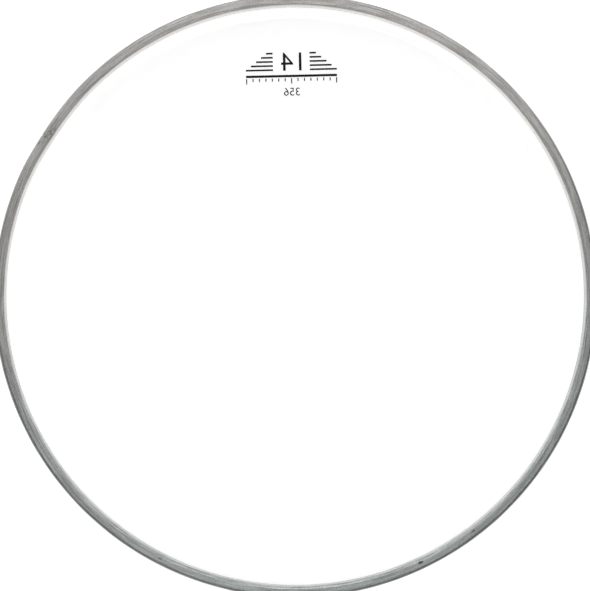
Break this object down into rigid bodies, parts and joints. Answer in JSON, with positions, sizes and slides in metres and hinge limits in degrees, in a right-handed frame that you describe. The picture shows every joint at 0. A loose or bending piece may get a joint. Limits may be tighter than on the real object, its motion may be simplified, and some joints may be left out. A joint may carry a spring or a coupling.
{
  "type": "drum head",
  "caption": "Clear snare-side drum head: a thin formed film with a collar, its rim cast in resin inside a rolled aluminium channel hoop.",
  "frame": {"origin": "centre of the film's outer face, which lies on the table", "axes": "+Z from the film's outer face towards the side where the drum shell enters, along the head's axis; +Y towards the printed mark; +X completes a right-handed frame"},
  "size_m": [0.371, 0.371, 0.0165],
  "materials": {
    "clear_film": "gloss",
    "hoop_aluminium": "satin",
    "splice_aluminium": "satin",
    "cast_resin": "gloss"
  },
  "bodies": {
    "root": {"film": "clear_film", "hoop_channel": "hoop_aluminium", "seam_splice": "splice_aluminium", "resin_fill": "cast_resin"}
  },
  "joints": []
}
